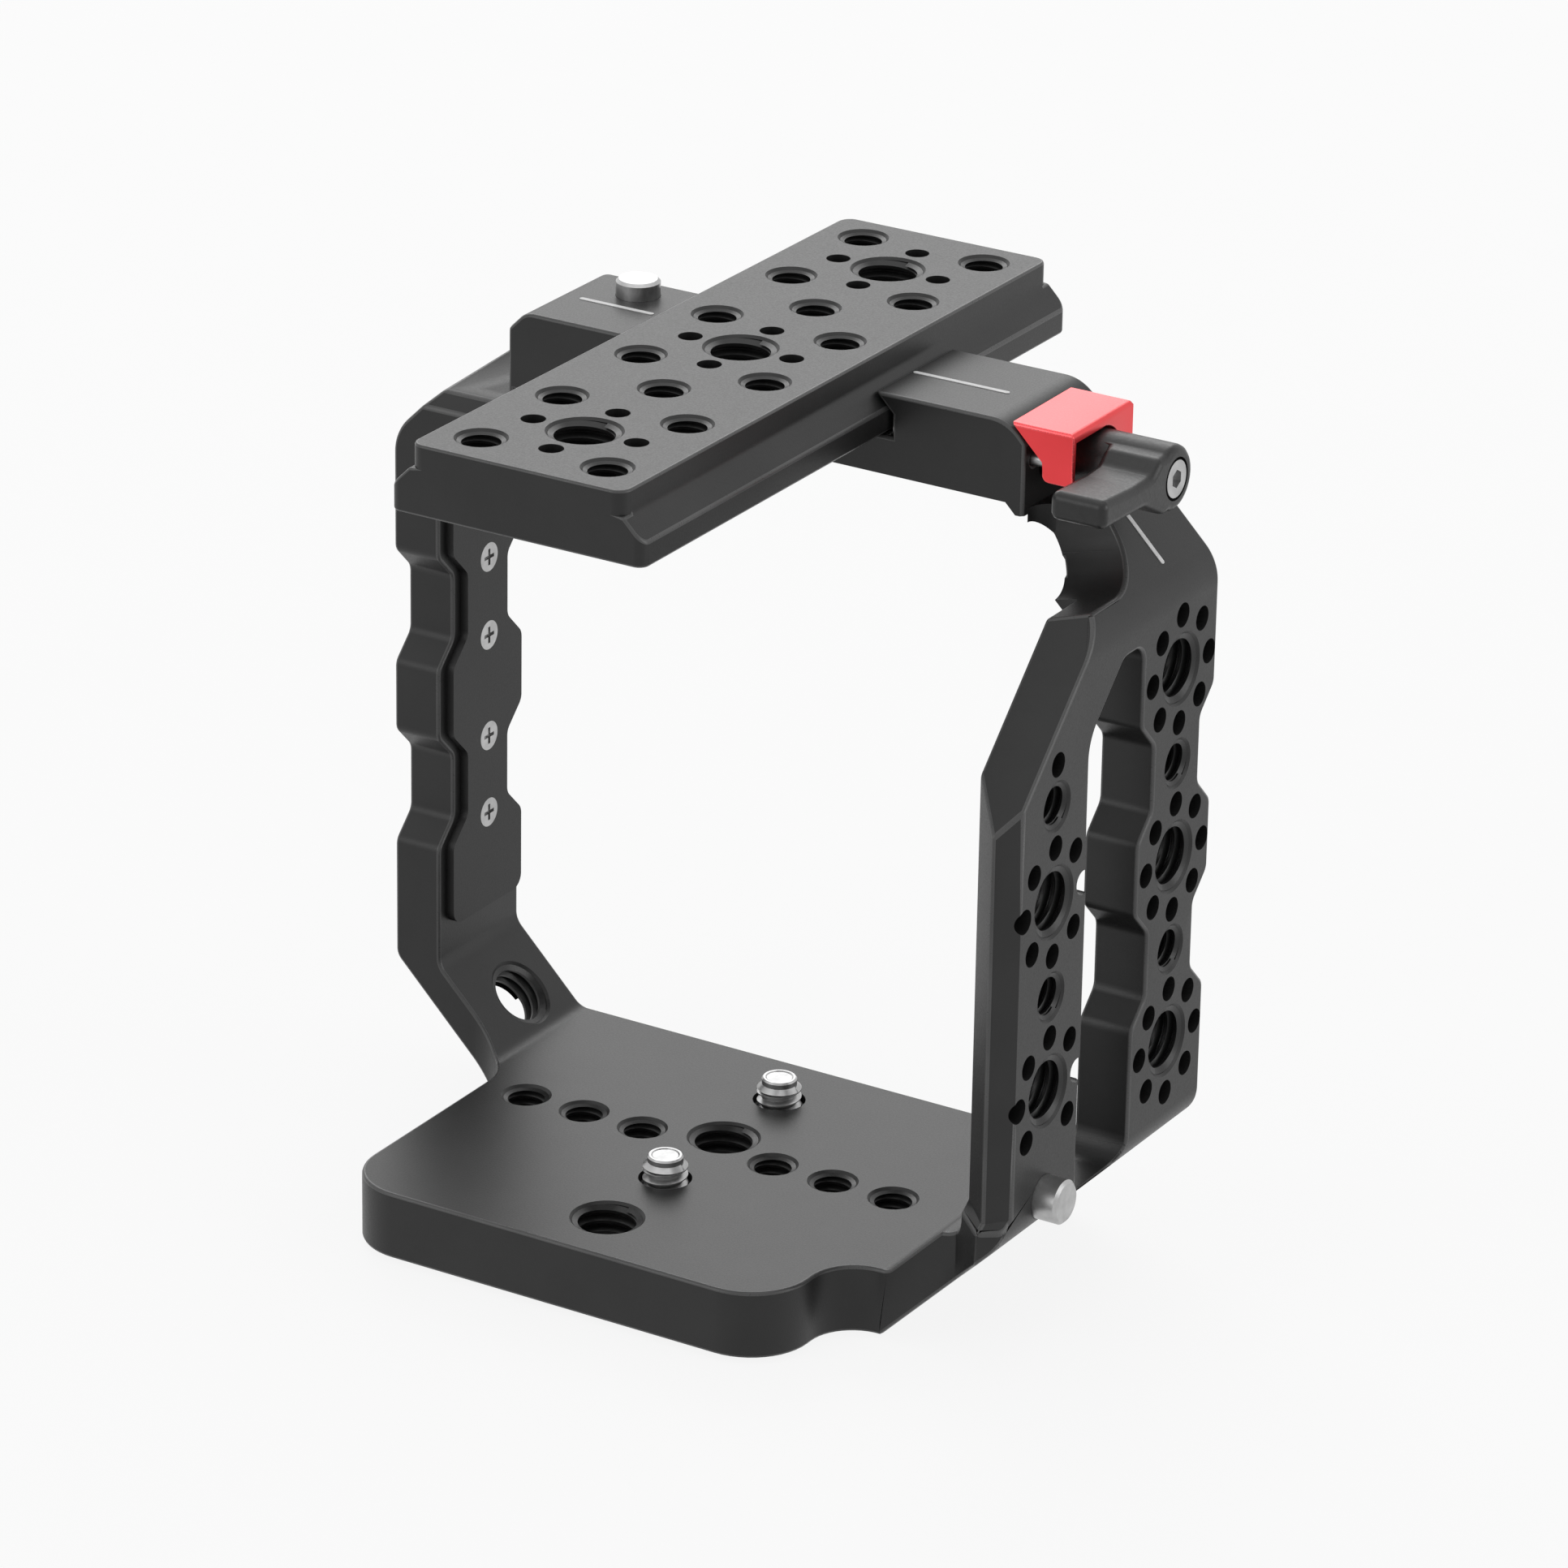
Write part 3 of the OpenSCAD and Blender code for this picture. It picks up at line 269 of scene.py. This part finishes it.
# A lighter copy of the red for the jaw's rounded edges: painted highlight along its edges
RED_EDGE_PAINTED_HIGHLIGHT = ((0.84, 0.07, 0.08), (0.92, 0.10, 0.11))
BRASS = ((0.55, 0.36, 0.12), (0.68, 0.47, 0.19))
LOOKS = {
    "frame_black": anodised("frame_black", BLACK, (0.36, 0.46)),
    "frame_edge_painted_highlight": anodised("frame_edge_painted_highlight", EDGE_PAINTED_HIGHLIGHT, (0.26, 0.36)),
    # A darker copy of the frame's black for the thread ridges: painted shade inside the tapped holes
    "thread_black": anodised("thread_black", grey(0.006, 0.010), (0.28, 0.38)),
    "plate_black": anodised("plate_black", BLACK, (0.36, 0.46)),
    "liner_black": anodised("liner_black", grey(0.009, 0.013), (0.42, 0.50), level=0.35),
    "jaw_red": anodised("jaw_red", RED, (0.28, 0.38), level=0.5, metallic=0.6),
    "jaw_edge": anodised("jaw_edge", RED_EDGE_PAINTED_HIGHLIGHT, (0.22, 0.30), level=0.5, metallic=0.6),
    "lever_black": coated("lever_black", BLACK, (0.34, 0.44)),
    "bright_steel": steel("bright_steel", grey(0.36, 0.50), (0.30, 0.40)),
    "dark_steel": steel("dark_steel", grey(0.32, 0.46), (0.32, 0.42)),
    "spring_steel": steel("spring_steel", grey(0.30, 0.42), (0.28, 0.38)),
    "insert_brass": steel("insert_brass", BRASS, (0.26, 0.36)),
    "index_white": coated("index_white", grey(0.70, 0.82), (0.46, 0.56)),
}

# The dyed oxide of the jaw is clear on top
COAT_WEIGHT = 0.3
COAT_ROUGHNESS = 0.3
for name in ("jaw_red", "jaw_edge"):
    shader = LOOKS[name].node_tree.nodes["Principled BSDF"]
    shader.inputs["Coat Weight"].default_value = COAT_WEIGHT
    shader.inputs["Coat Roughness"].default_value = COAT_ROUGHNESS

slot_of = {row["node"]: row["material_slot"] for row in frame["record"]["subparts"]}
for name, piece in nodes.items():
    piece.data.materials.clear()
    piece.data.materials.append(LOOKS[slot_of[name]])
    piece.data.shade_smooth()
    piece.data.set_sharp_from_angle(angle=SHARP)


def new_piece(name, mesh, body, looks, place=Matrix()):
    """Puts a mesh into the scene as a piece that rides on a body."""
    mesh.materials.clear()
    for look in looks:
        mesh.materials.append(LOOKS[look])
    piece = bpy.data.objects.new(name, mesh)
    bpy.context.scene.collection.objects.link(piece)
    piece.matrix_world = place
    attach(piece, body)
    return piece


def pointing(place, direction):
    """A matrix at a place in millimetres, with its Z along a direction."""
    spin = Vector(direction).to_track_quat("Z", "Y").to_matrix().to_4x4()
    return Matrix.Translation(Vector(place) * MM) @ spin


def thread_points(size, shares, top, bottom, lead_in):
    """Rows of points of a thread round the Z axis, cut off at its top by a cone.

    The cone opens upwards for a lead-in above zero, as in a hole, and narrows upwards for one below zero, as
    on a screw.
    """
    outer, inner, pitch = size
    rows = []
    turns = (top - bottom) / pitch + shares[-1][0]
    for step in range(int(math.ceil(turns * STEPS_PER_TURN)) + 1):
        angle = 2 * math.pi * step / STEPS_PER_TURN
        start = bottom - pitch * shares[-1][0] + pitch * step / STEPS_PER_TURN
        row = []
        for share, depth in shares:
            radius = outer + (inner - outer) * depth
            cut = (radius - inner if lead_in < 0 else outer - radius) * abs(lead_in)
            height = max(bottom, min(top - cut, start + pitch * share))
            row.append(Vector((radius * math.cos(angle), radius * math.sin(angle), height)) * MM)
        rows.append(row)
    return rows


def grid_mesh(name, rows, outward):
    """A mesh of quads through rows of points, without the faces that have no area."""
    shell = bmesh.new()
    verts = [[shell.verts.new(point) for point in row] for row in rows]
    for row, after in zip(verts, verts[1:]):
        for column in range(len(row) - 1):
            loop = [row[column], row[column + 1], after[column + 1], after[column]]
            shell.faces.new(reversed(loop) if outward else loop)
    bmesh.ops.dissolve_degenerate(shell, dist=TINY, edges=shell.edges)
    bmesh.ops.remove_doubles(shell, verts=shell.verts, dist=TINY)
    mesh = bpy.data.meshes.new(name)
    shell.to_mesh(mesh)
    shell.free()
    mesh.shade_smooth()
    mesh.set_sharp_from_angle(angle=SHARP)
    return mesh


# Ridges of a tapped hole: height as a share of the pitch, and depth from the outer radius
TAPPED_RIDGE = ((0.0, 0.0), (0.3125, 1.0), (0.5625, 1.0), (0.875, 0.0))
# Ridges of a screw, all the way round to the next one
SCREW_RIDGE = ((0.0, 1.0), (0.30, 0.0), (0.42, 0.0), (0.72, 1.0), (1.0, 1.0))


def tapped(name, size, place, direction, depth, body):
    """Thread ridges inside a tapped hole whose mouth is at place."""
    outer, inner, pitch = size
    inside = (outer - RIDGE_SINK, inner, pitch)
    rows = thread_points(inside, TAPPED_RIDGE, -MOUTH_CHAMFER, RIDGE_SHORT - depth, LEAD_IN)
    mesh = grid_mesh(name, rows, False)
    # The ridges take the darker black, painted shade inside the hole
    new_piece(name, mesh, body, ["thread_black"], pointing(place, direction))


tapped_holes = []
for side in (-1, 1):
    for offset in BASE_ROW:
        tapped_holes.append(("base", SMALL_THREAD, (side * offset, 0, 0), (0, 0, 1), BASE_THICK))
for y in BASE_LARGE:
    tapped_holes.append(("base", LARGE_THREAD, (BASE_MIDDLE_X, y, 0), (0, 0, 1), BASE_THICK))
tapped_holes.append(("leg", LARGE_THREAD, LEG_HOLE, (1, 0, 1), LEG_THICK))
rear_column = [(REAR_ROW, REAR_FIRST + RING_PITCH * step / 2, step % 2 == 0) for step in range(5)]
front_column = [(FRONT_ROW, FRONT_FIRST + RING_PITCH * step / 2, step % 2 == 0) for step in range(4)]
for y, z, is_large in rear_column + front_column:
    size = LARGE_THREAD if is_large else SMALL_THREAD
    tapped_holes.append(("side", size, (SIDE_X, y, z), (1, 0, 0), SIDE_THICK))
loop_holes = list(tapped_holes)
plate_holes = [(side * PLATE_GAUGE, step, False) for side in (-1, 1) for step in range(6)]
plate_holes += [(0, 1.5, False), (0, 3.5, False), (0, 0.5, True), (0, 2.5, True), (0, 4.5, True)]
for x, step, is_large in plate_holes:
    size = LARGE_THREAD if is_large else SMALL_THREAD
    place = (PLATE_X + x, PLATE_FIRST + PLATE_PITCH * step, PLATE_TOP)
    tapped_holes.append(("plate", size, place, (0, 0, 1), PLATE_THICK))
for index, (where, size, place, direction, depth) in enumerate(tapped_holes):
    slot, body = ("plate_black", "top_plate") if where == "plate" else ("frame_black", "frame")
    tapped(f"{where}_thread_{index + 1}", size, place, direction, depth, body)


def rims(holes):
    """Circles at the mouths of tapped holes: their place, direction and two radii."""
    circles = []
    for where, size, place, direction, depth in holes:
        for radius in (size[0], size[0] + MOUTH_CHAMFER):
            circles.append((place, direction, radius))
    return circles


def ring(place, radius, hole_radius, direction, across, count):
    """Circles of the locating holes that stand in a ring round a large hole."""
    axis = Vector(direction)
    arm = Vector(across) * radius
    turns = [Matrix.Rotation(2 * math.pi * step / count, 3, axis) for step in range(count)]
    return [(Vector(place) + turn @ arm, direction, hole_radius) for turn in turns]


loop_rims = rims(loop_holes)
plate_rims = rims(tapped_holes[len(loop_holes):])
# The ring above the front column has no tapped hole in its middle
top_ring = (FRONT_ROW, FRONT_FIRST + 2 * RING_PITCH, True)
for y, z, is_large in rear_column + front_column + [top_ring]:
    if is_large:
        loop_rims += ring((SIDE_X, y, z), RING_RADIUS, LOCATE_RADIUS, (1, 0, 0), (0, 0, 1), SIDE_RING_COUNT)
for where, size, place, direction, depth in tapped_holes[len(loop_holes):]:
    if size is LARGE_THREAD:
        plate_rims += ring(place, PLATE_RING_RADIUS, PLATE_LOCATE_RADIUS, direction, (1, 0, 0),
                           PLATE_RING_COUNT)
loop_rims += [(TOP_BUTTON, (0, 0, 1), BUTTON_GUIDE), (SIDE_BUTTON, (1, 0, 0), BUTTON_GUIDE)]
loop_rims += [((BASE_MIDDLE_X, y, 0), (0, 0, 1), SCREW_RECESS) for y in SCREW_ROWS.values()]
loop_rims += [(place, (1, 0, 0), LINER_SHANK) for place in LINER_SCREWS]


def on_rim(point, circles):
    """Whether a point in metres lies on one of the circles, or straight below or above it."""
    for place, direction, radius in circles:
        offset = point / MM - Vector(place)
        axis = Vector(direction).normalized()
        across = (offset - axis * offset.dot(axis)).length
        if abs(across - radius) < RIM_REACH and abs(offset.dot(axis)) < BASE_THICK + RIM_SPARE:
            return True
    return False


def in_box(point, box):
    """Whether a point in metres lies inside a box given by two corners in millimetres."""
    return all(low < value / MM < high for low, value, high in zip(box[0], point, box[1]))


def kept_sharp(edge):
    """Whether both ends of an edge lie in one of the boxes whose edges stay sharp."""
    return any(all(in_box(vert.co, box) for vert in edge.verts) for box in KEPT_SHARP)


def loop_share(edge):
    """How far an edge of the loop is rounded."""
    return 0.0 if kept_sharp(edge) else 1.0


def whole_share(edge):
    """Every edge is rounded alike."""
    return 1.0


def finished(name, mesh, replaced, circles, width, segments, looks, share=whole_share, weld=WELD):
    """Rounds off the outer edges of a closed mesh, apart from those round its holes."""
    shell = bmesh.new()
    shell.from_mesh(mesh)
    bmesh.ops.remove_doubles(shell, verts=shell.verts, dist=weld * MM)
    bmesh.ops.dissolve_limit(shell, angle_limit=FLAT, verts=shell.verts, edges=shell.edges)
    weight = shell.edges.layers.float.new("bevel_weight_edge")
    rim = {vert for vert in shell.verts if on_rim(vert.co, circles)}
    for edge in shell.edges:
        is_sharp = edge.calc_face_angle(0.0) > SHARP
        is_outer = is_sharp and edge.is_convex and not all(vert in rim for vert in edge.verts)
        edge[weight] = share(edge) if is_outer else 0.0
        edge.smooth = edge[weight] > 0 or not is_sharp
    for face in shell.faces:
        face.smooth = True
    new_mesh = bpy.data.meshes.new(name)
    shell.to_mesh(new_mesh)
    shell.free()
    node = replaced[0]
    body = next(body for body, members in frame["record"]["behaviour"]["bodies"].items() if node in members)
    piece = new_piece(name, new_mesh, body, looks)
    rounding = piece.modifiers.new("rounding", "BEVEL")
    rounding.limit_method = "WEIGHT"
    rounding.width = width * MM
    rounding.segments = segments
    rounding.use_clamp_overlap = False
    rounding.loop_slide = False
    # The rounded edges take the last look: on the loop, plate and jaw a lighter copy of the body's colour,
    # painted highlight along the edges
    rounding.material = len(looks) - 1
    shading = piece.modifiers.new("shading", "WEIGHTED_NORMAL")
    shading.keep_sharp = True
    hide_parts(*replaced)


def united(names):
    """One closed mesh of nodes that touch each other."""
    piece = bpy.data.objects.new("united", nodes[names[0]].data.copy())
    bpy.context.scene.collection.objects.link(piece)
    for name in names[1:]:
        step = piece.modifiers.new(name, "BOOLEAN")
        step.operation = "UNION"
        step.solver = "EXACT"
        step.object = nodes[name]
        bpy.context.view_layer.update()
        evaluated = piece.evaluated_get(bpy.context.evaluated_depsgraph_get())
        mesh = bpy.data.meshes.new_from_object(evaluated)
        piece.modifiers.clear()
        piece.data = mesh
    bpy.data.objects.remove(piece)
    return mesh


def jaw_share(edge):
    """How far an edge of the jaw is rounded: most on its two long upper edges, and not at its tip."""
    first, second = (vert.co / MM for vert in edge.verts)
    run, depth, rise = (abs(step) for step in second - first)
    is_across = depth > JAW_LONG
    if min(first.z, second.z) > JAW_TOP_Z and run > JAW_LONG and not is_across:
        return 1.0
    is_slanted = min(rise, run) > JAW_LONG
    at_tip = min(first.x, second.x) < JAW_TIP_X
    across_top = is_across and max(first.z, second.z) > JAW_TOP_Z - JAW_TOP_BAND
    return 0.0 if is_slanted or at_tip or across_top else JAW_ROUND_SHARE


LOOP = ["side_plate", "right_leg", "base_plate", "left_leg", "left_arm", "crossbar", "right_shoulder"]
finished("loop", united(LOOP), LOOP, loop_rims, LOOP_ROUND, ROUND_SEGMENTS, ["frame_black", "frame_edge_painted_highlight"],
         loop_share)
finished("plate", nodes["top_plate"].data, ["top_plate"], plate_rims, PLATE_ROUND, ROUND_SEGMENTS,
         ["plate_black", "frame_edge_painted_highlight"])
jaw_rims = [(JAW_MIDDLE, (1, 0, 0), JAW_BORE)]
finished("jaw", nodes["clamp_jaw"].data, ["clamp_jaw"], jaw_rims, JAW_ROUND, FINE_SEGMENTS,
         ["jaw_red", "jaw_edge"], jaw_share, JAW_TIP_HEIGHT)
hub_rims = [(HUB_MIDDLE, (1, 0, 0), HUB_BORE)]
finished("lever", nodes["lever_handle"].data, ["lever_handle"], hub_rims, LEVER_ROUND, FINE_SEGMENTS,
         ["lever_black"])


def camera_screw_end(name, body, y):
    """Threaded end of a camera screw with a plain point that is slightly hollow."""
    rows = thread_points(SCREW_THREAD, SCREW_RIDGE, SCREW_REACH - SCREW_POINT, SCREW_FOOT, SCREW_LEAD_IN)
    mesh = grid_mesh(name, rows, True)
    core = SCREW_THREAD[1]
    rim_outside = core - POINT_CHAMFER_ACROSS
    rim_inside = rim_outside - POINT_RIM
    dish_top = SCREW_REACH - DISH_DEPTH
    profile = [(core + POINT_SKIN, SCREW_FOOT), (core + POINT_SKIN, SCREW_REACH - POINT_CHAMFER_ALONG),
               (rim_outside, SCREW_REACH), (rim_inside, SCREW_REACH), (rim_inside - DISH_ACROSS, dish_top),
               (0.0, dish_top)]
    turns = [2 * math.pi * step / STEPS_PER_TURN for step in range(STEPS_PER_TURN + 1)]
    rows = [[Vector((r * math.cos(turn), r * math.sin(turn), z)) * MM for r, z in profile] for turn in turns]
    point = grid_mesh(name + "_point", rows, True)
    shell = bmesh.new()
    shell.from_mesh(mesh)
    shell.from_mesh(point)
    shell.to_mesh(mesh)
    shell.free()
    bpy.data.meshes.remove(point)
    piece = new_piece(name, mesh, body, ["bright_steel"],
                      Matrix.Translation(Vector((BASE_MIDDLE_X, y, 0)) * MM))
    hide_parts(body.replace("screw", "thread"))


for body, y in SCREW_ROWS.items():
    camera_screw_end(body + "_end", body, y)

# Each spring gets a mesh of its own
for button, (inward, travel) in PRESSES.items():
    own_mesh(nodes[button + "_spring"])

# Pale floor under the base, nearly white to the camera but still shaded by the object, in metres
FLOOR_HALF = 3.0
FLOOR_GAP = 0.0002
FLOOR_GLOW = 0.88
PAPER_ROUGHNESS = 0.9
PAPER_CLOUDS = 40.0
PAPER = grey(0.80, 0.82)
floor_mesh = bpy.data.meshes.new("floor")
floor_z = cad_low.z - FLOOR_GAP
corners = [(x * FLOOR_HALF, y * FLOOR_HALF, floor_z) for x, y in ((-1, -1), (1, -1), (1, 1), (-1, 1))]
floor_mesh.from_pydata(corners, [], [(0, 1, 2, 3)])
floor = bpy.data.objects.new("floor", floor_mesh)
bpy.context.scene.collection.objects.link(floor)


def seen_directly(tree):
    """A value that is 1 for camera, glossy and transmission rays."""
    rays = add(tree, "ShaderNodeLightPath")
    total = rays.outputs["Is Camera Ray"]
    for kind in ("Is Glossy Ray", "Is Transmission Ray"):
        step = add(tree, "ShaderNodeMath", operation="MAXIMUM")
        tree.links.new(total, step.inputs[0])
        tree.links.new(rays.outputs[kind], step.inputs[1])
        total = step.outputs["Value"]
    return total


paper, tree, shader = graph("paper")
shader.inputs["Roughness"].default_value = PAPER_ROUGHNESS
tree.links.new(ramp(tree, noise(tree, PAPER_CLOUDS), *PAPER), shader.inputs["Base Color"])
glow = add(tree, "ShaderNodeEmission", Strength=1.0)
share = add(tree, "ShaderNodeMath", operation="MULTIPLY")
share.inputs[1].default_value = FLOOR_GLOW
mix = add(tree, "ShaderNodeMixShader")
tree.links.new(seen_directly(tree), share.inputs[0])
tree.links.new(share.outputs["Value"], mix.inputs["Fac"])
tree.links.new(shader.outputs["BSDF"], mix.inputs[1])
tree.links.new(glow.outputs["Emission"], mix.inputs[2])
tree.links.new(mix.outputs["Shader"], tree.nodes["Material Output"].inputs["Surface"])
floor_mesh.materials.append(paper)

# World: plain soft light, white to the camera and in reflections
WORLD_LIGHT = 0.35
WORLD_WHITE = 1.0
world = bpy.data.worlds.new("world")
bpy.context.scene.world = world
world.use_nodes = True
tree = world.node_tree
background = tree.nodes["Background"]
background.inputs["Color"].default_value = (1.0, 1.0, 1.0, 1.0)
level = add(tree, "ShaderNodeMapRange")
level.inputs["To Min"].default_value = WORLD_LIGHT
level.inputs["To Max"].default_value = WORLD_WHITE
tree.links.new(seen_directly(tree), level.inputs["Value"])
tree.links.new(level.outputs["Result"], background.inputs["Strength"])


def lamp(name, place, aim, width, height, power):
    """A soft rectangular lamp, with its places and sizes in metres and its power in watts."""
    data = bpy.data.lights.new(name, "AREA")
    data.shape = "RECTANGLE"
    data.size = width
    data.size_y = height
    data.energy = power
    item = bpy.data.objects.new(name, data)
    item.location = place
    item.rotation_mode = "QUATERNION"
    item.rotation_quaternion = (Vector(aim) - Vector(place)).to_track_quat("-Z", "Y")
    bpy.context.scene.collection.objects.link(item)


# Lamps, all aimed at the middle of the part
CENTRE = (0.0, 0.0, 0.05)
lamp("key", (-0.75, 1.0, 0.85), CENTRE, 1.2, 0.8, 6.5)
lamp("top", (0.0, 0.0, 1.5), CENTRE, 1.4, 1.4, 4.0)
lamp("side", (1.2, 0.3, 0.4), CENTRE, 0.8, 0.8, 4.5)
lamp("front", (-0.6, -1.2, 0.6), CENTRE, 0.8, 0.8, 3.5)

camera_data = bpy.data.cameras.new("camera")
camera_data.sensor_width = SENSOR_WIDTH
camera_data.lens = CAMERA_LENS
camera_data.clip_start, camera_data.clip_end = CAMERA_CLIP
camera = bpy.data.objects.new("camera", camera_data)
right, down, forward = Vector(CAMERA_RIGHT), Vector(CAMERA_DOWN), Vector(CAMERA_FORWARD)
turn = Matrix((right, -down, -forward)).transposed().to_4x4()
camera.matrix_world = Matrix.Translation(Vector(CAMERA_PLACE)) @ turn
bpy.context.scene.collection.objects.link(camera)
bpy.context.scene.camera = camera
bpy.context.scene.view_settings.view_transform = "Standard"
